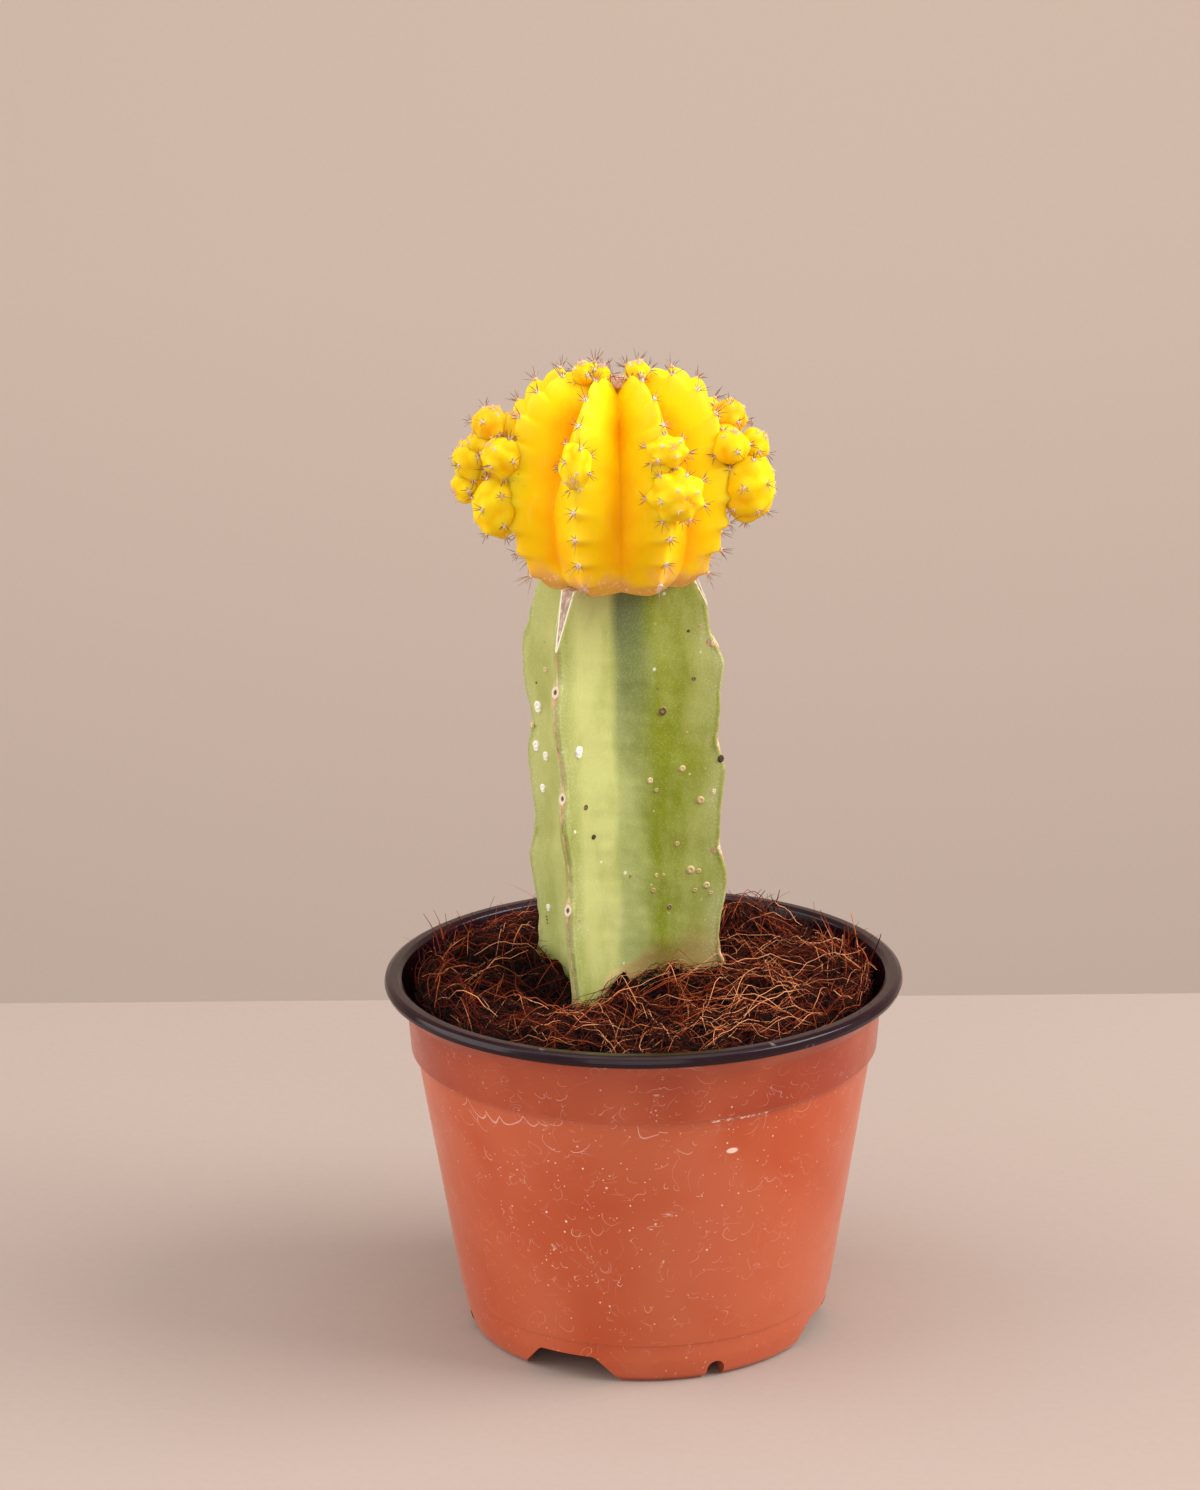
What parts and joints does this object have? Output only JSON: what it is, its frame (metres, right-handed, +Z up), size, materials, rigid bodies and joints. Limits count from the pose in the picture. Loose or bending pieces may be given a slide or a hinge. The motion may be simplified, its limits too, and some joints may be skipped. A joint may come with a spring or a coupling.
{
  "type": "potted moon cactus",
  "caption": "Ribbed globe cactus with clustered offsets, grafted on a three-winged stem that stands in coir in a tapered round plant pot.",
  "frame": {"origin": "centre of the pot's base, on the surface that the pot stands on", "axes": "+Z up along the plant, -Y towards the front, +X to the front's right"},
  "size_m": [0.12, 0.12, 0.2303],
  "materials": {
    "pot": "satin",
    "coir": "matte",
    "rootstock": "satin",
    "scion": "satin"
  },
  "bodies": {
    "root": {"pot": "pot", "coir_substrate": "coir", "rootstock": "rootstock", "scion": "scion"}
  },
  "joints": []
}
